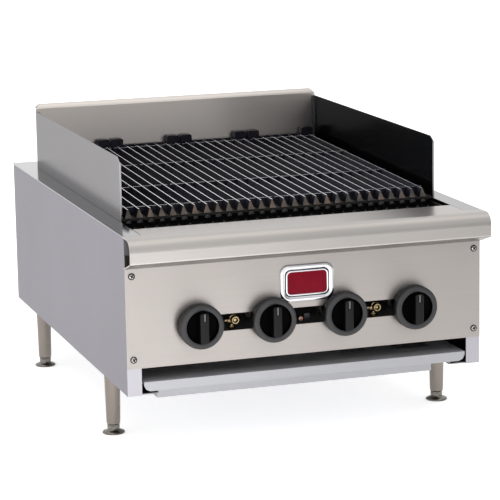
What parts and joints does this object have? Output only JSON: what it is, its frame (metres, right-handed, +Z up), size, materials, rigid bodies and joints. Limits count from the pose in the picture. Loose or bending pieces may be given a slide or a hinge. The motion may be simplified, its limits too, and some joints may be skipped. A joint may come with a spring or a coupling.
{
  "type": "countertop gas charbroiler",
  "caption": "Stainless countertop gas charbroiler with raised splash guards, cast grates over radiants and tube burners, front control knobs, slide-out grease tray and levelling legs.",
  "frame": {"origin": "on the counter, under the middle of the appliance", "axes": "+X to the right seen from the front, +Y to the back, +Z up; the knobs face -Y"},
  "size_m": [0.62, 0.888, 0.48],
  "materials": {
    "stainless_steel": "brushed",
    "aluminised_steel": "dull",
    "tray_steel": "satin",
    "cast_iron": "matte",
    "burner_steel": "satin",
    "brass": "satin",
    "plated_steel": "bright",
    "knob_plastic": "satin",
    "black_pipe": "matte",
    "tube_aluminium": "satin",
    "badge_chrome": "bright",
    "nickel": "satin"
  },
  "bodies": {
    "cabinet": {"left_side_panel": "stainless_steel", "right_side_panel": "stainless_steel", "rear_panel": "stainless_steel", "control_panel": "stainless_steel", "control_panel_screws": "plated_steel", "badge_plate": "badge_chrome", "bullnose": "stainless_steel", "deck_frame": "stainless_steel", "left_splash_guard": "stainless_steel", "right_splash_guard": "stainless_steel", "back_splash_guard": "stainless_steel", "firebox_left_wall": "aluminised_steel", "firebox_right_wall": "aluminised_steel", "firebox_front_wall": "aluminised_steel", "firebox_rear_wall": "aluminised_steel", "front_grate_rest": "aluminised_steel", "manifold": "black_pipe", "gas_supply_pipe": "black_pipe", "pilot_valves": "brass", "pilot_tubes": "tube_aluminium", "pilot_burners": "burner_steel", "left_runner_channel": "aluminised_steel", "right_runner_channel": "aluminised_steel", "radiant_1": "cast_iron", "radiant_2": "cast_iron", "radiant_3": "cast_iron", "radiant_4": "cast_iron", "burner_1": "burner_steel", "burner_2": "burner_steel", "burner_3": "burner_steel", "burner_4": "burner_steel", "gas_valve_1": "brass", "gas_valve_2": "brass", "gas_valve_3": "brass", "gas_valve_4": "brass", "front_left_leg": "nickel", "front_right_leg": "nickel", "rear_left_leg": "nickel", "rear_right_leg": "nickel"},
    "knob_1": {"knob_1": "knob_plastic", "valve_stem_1": "plated_steel"},
    "knob_2": {"knob_2": "knob_plastic", "valve_stem_2": "plated_steel"},
    "knob_3": {"knob_3": "knob_plastic", "valve_stem_3": "plated_steel"},
    "knob_4": {"knob_4": "knob_plastic", "valve_stem_4": "plated_steel"},
    "air_shutter_1": {"air_shutter_1": "plated_steel"},
    "air_shutter_2": {"air_shutter_2": "plated_steel"},
    "air_shutter_3": {"air_shutter_3": "plated_steel"},
    "air_shutter_4": {"air_shutter_4": "plated_steel"},
    "grate_1": {"grate_1": "cast_iron"},
    "grate_2": {"grate_2": "cast_iron"},
    "grate_3": {"grate_3": "cast_iron"},
    "grate_4": {"grate_4": "cast_iron"},
    "grease_tray": {"grease_tray": "tray_steel"},
    "front_left_foot": {"front_left_foot": "nickel"},
    "front_right_foot": {"front_right_foot": "nickel"},
    "rear_left_foot": {"rear_left_foot": "nickel"},
    "rear_right_foot": {"rear_right_foot": "nickel"}
  },
  "joints": [
    {"name": "knob_1_turn", "type": "hinge", "parent": "cabinet", "child": "knob_1", "pos_m": [-0.1842, -0.4, 0.208], "axis": [0, -1, 0], "range_deg": [0, 90]},
    {"name": "knob_2_turn", "type": "hinge", "parent": "cabinet", "child": "knob_2", "pos_m": [-0.0614, -0.4, 0.208], "axis": [0, -1, 0], "range_deg": [0, 90]},
    {"name": "knob_3_turn", "type": "hinge", "parent": "cabinet", "child": "knob_3", "pos_m": [0.0614, -0.4, 0.208], "axis": [0, -1, 0], "range_deg": [0, 90]},
    {"name": "knob_4_turn", "type": "hinge", "parent": "cabinet", "child": "knob_4", "pos_m": [0.1842, -0.4, 0.208], "axis": [0, -1, 0], "range_deg": [0, 90]},
    {"name": "air_shutter_1_turn", "type": "hinge", "parent": "cabinet", "child": "air_shutter_1", "pos_m": [-0.1842, -0.344, 0.208], "axis": [0, 1, 0], "range_deg": [0, 60]},
    {"name": "air_shutter_2_turn", "type": "hinge", "parent": "cabinet", "child": "air_shutter_2", "pos_m": [-0.0614, -0.344, 0.208], "axis": [0, 1, 0], "range_deg": [0, 60]},
    {"name": "air_shutter_3_turn", "type": "hinge", "parent": "cabinet", "child": "air_shutter_3", "pos_m": [0.0614, -0.344, 0.208], "axis": [0, 1, 0], "range_deg": [0, 60]},
    {"name": "air_shutter_4_turn", "type": "hinge", "parent": "cabinet", "child": "air_shutter_4", "pos_m": [0.1842, -0.344, 0.208], "axis": [0, 1, 0], "range_deg": [0, 60]},
    {"name": "grate_1_lift", "type": "slide", "parent": "cabinet", "child": "grate_1", "axis": [0, 0, 1], "range_m": [0, 0.2]},
    {"name": "grate_2_lift", "type": "slide", "parent": "cabinet", "child": "grate_2", "axis": [0, 0, 1], "range_m": [0, 0.2]},
    {"name": "grate_3_lift", "type": "slide", "parent": "cabinet", "child": "grate_3", "axis": [0, 0, 1], "range_m": [0, 0.2]},
    {"name": "grate_4_lift", "type": "slide", "parent": "cabinet", "child": "grate_4", "axis": [0, 0, 1], "range_m": [0, 0.2]},
    {"name": "grease_tray_slide", "type": "slide", "parent": "cabinet", "child": "grease_tray", "axis": [0, -1, 0], "range_m": [0, 0.6]},
    {"name": "front_left_foot_level", "type": "slide", "parent": "cabinet", "child": "front_left_foot", "axis": [0, 0, -1], "range_m": [0, 0.02]},
    {"name": "front_right_foot_level", "type": "slide", "parent": "cabinet", "child": "front_right_foot", "axis": [0, 0, -1], "range_m": [0, 0.02]},
    {"name": "rear_left_foot_level", "type": "slide", "parent": "cabinet", "child": "rear_left_foot", "axis": [0, 0, -1], "range_m": [0, 0.02]},
    {"name": "rear_right_foot_level", "type": "slide", "parent": "cabinet", "child": "rear_right_foot", "axis": [0, 0, -1], "range_m": [0, 0.02]}
  ]
}
